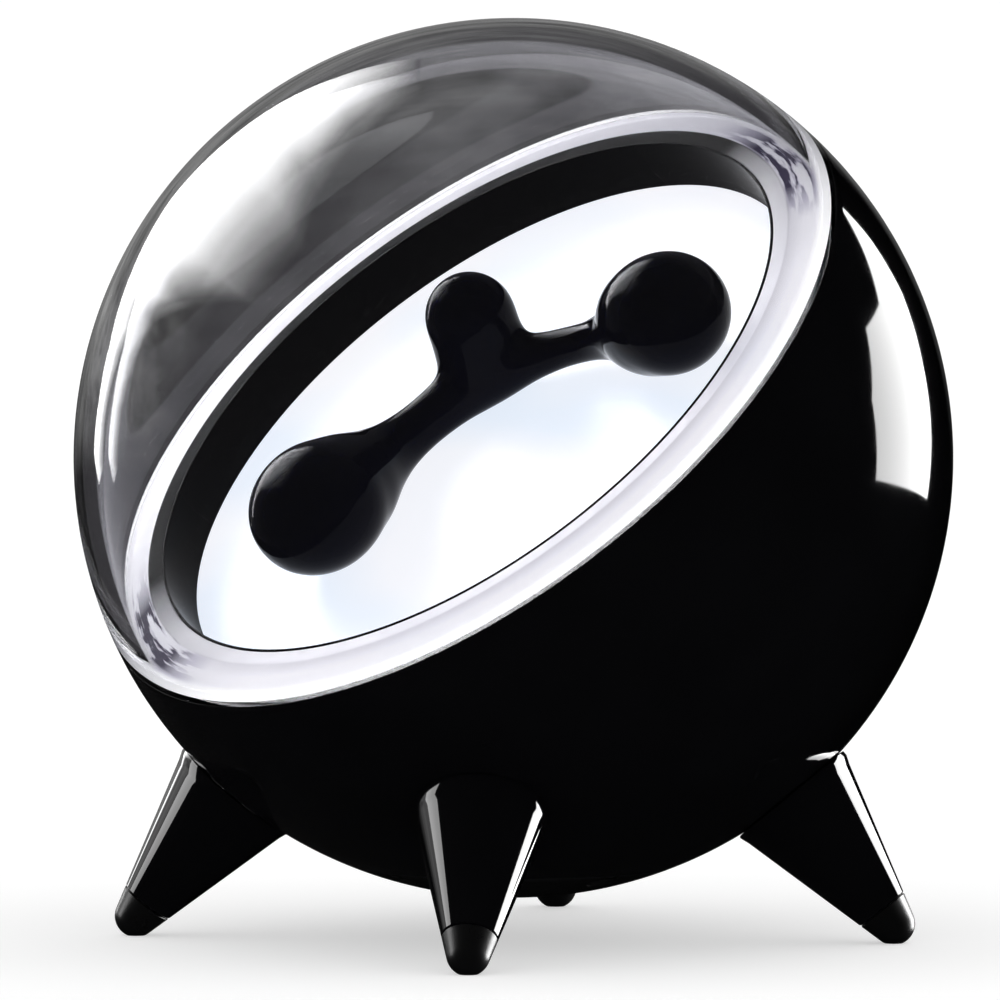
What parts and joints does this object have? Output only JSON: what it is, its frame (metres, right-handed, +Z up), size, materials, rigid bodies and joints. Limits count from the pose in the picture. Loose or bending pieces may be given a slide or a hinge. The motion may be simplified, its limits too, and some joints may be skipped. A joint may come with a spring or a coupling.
{
  "type": "ferrofluid display sculpture",
  "caption": "Glossy black ball on cone legs with a tilted lit disc under a clear dome, where a black ferrofluid figure is held and turned by magnets.",
  "frame": {"origin": "on the ground under the ball's centre", "axes": "+Z up, the tilted display faces -Y, +X to the right of a viewer who faces the display"},
  "size_m": [0.13, 0.1298, 0.1362],
  "materials": {
    "gloss_black": "piano-black gloss",
    "satin_black": "fine satin",
    "rubber_black": "matt moulded rubber",
    "clear_dome": "polished and clear, faint smoke tint",
    "ring_white": "smooth translucent white",
    "diffuser_white": "smooth opal white, lit from behind",
    "guide_clear": "polished clear plastic",
    "board_green": "solder mask over glass-fibre board",
    "magnet_nickel": "nickel plating",
    "acetal_white": "moulded acetal",
    "steel": "ground or pressed steel",
    "brass": "machined brass",
    "zinc_steel": "zinc-plated steel",
    "battery_blue": "shrink sleeve",
    "ferrofluid": "wet black liquid"
  },
  "bodies": {
    "base": {"base_cover": "satin_black", "base_screw_1": "zinc_steel", "base_screw_2": "zinc_steel", "base_screw_3": "zinc_steel", "base_screw_4": "zinc_steel", "battery_cell": "battery_blue", "battery_holder": "satin_black", "bezel_screw_1": "zinc_steel", "bezel_screw_2": "zinc_steel", "bezel_screw_3": "zinc_steel", "bezel_screw_4": "zinc_steel", "board_screw_left": "zinc_steel", "board_screw_right": "zinc_steel", "body_shell": "gloss_black", "chassis": "satin_black", "clear_dome": "clear_dome", "display_disc": "diffuser_white", "foot_front_left": "rubber_black", "foot_front_right": "rubber_black", "foot_rear_left": "rubber_black", "foot_rear_right": "rubber_black", "gear_motor": "steel", "led_board": "board_green", "leg_front_left": "gloss_black", "leg_front_right": "gloss_black", "leg_rear_left": "gloss_black", "leg_rear_right": "gloss_black", "leg_stud_front_left": "zinc_steel", "leg_stud_front_right": "zinc_steel", "leg_stud_rear_left": "zinc_steel", "leg_stud_rear_right": "zinc_steel", "light_guide": "guide_clear", "light_ring": "ring_white", "lower_bearing": "steel", "main_board": "board_green", "motor_screw_left": "zinc_steel", "motor_screw_right": "zinc_steel", "recess_bezel": "satin_black", "reflector": "ring_white", "socket_tongue": "satin_black", "standoff_left": "brass", "standoff_right": "brass", "tact_switch": "satin_black", "upper_bearing": "steel", "usb_socket": "steel"},
    "magnet_rotor": {"carrier_shaft": "steel", "magnet_carrier": "acetal_white", "magnet_lower": "magnet_nickel", "magnet_middle": "magnet_nickel", "magnet_side": "magnet_nickel", "carrier_gear": "brass"},
    "pinion": {"motor_pinion": "brass"},
    "fluid": {"fluid_figure": "ferrofluid"},
    "button": {"power_button": "satin_black"}
  },
  "joints": [
    {"name": "magnet_spin", "type": "hinge", "parent": "base", "child": "magnet_rotor", "pos_m": [0, 0, 0.07138], "axis": [0, -0.6845, 0.729], "continuous": true},
    {"name": "pinion_spin", "type": "hinge", "parent": "base", "child": "pinion", "pos_m": [0, -0.02303, 0.04975], "axis": [0, -0.6845, 0.729], "continuous": true},
    {"name": "fluid_spin", "type": "hinge", "parent": "base", "child": "fluid", "pos_m": [0, 0, 0.07138], "axis": [0, -0.6845, 0.729], "continuous": true},
    {"name": "button_press", "type": "slide", "parent": "base", "child": "button", "axis": [0, -1, 0], "range_m": [0, 0.0008], "stiffness_N_per_m": 600}
  ],
  "couplings": [
    {"joint": "pinion_spin", "follows": "magnet_spin", "ratio": -4},
    {"joint": "fluid_spin", "follows": "magnet_spin", "ratio": 1}
  ]
}
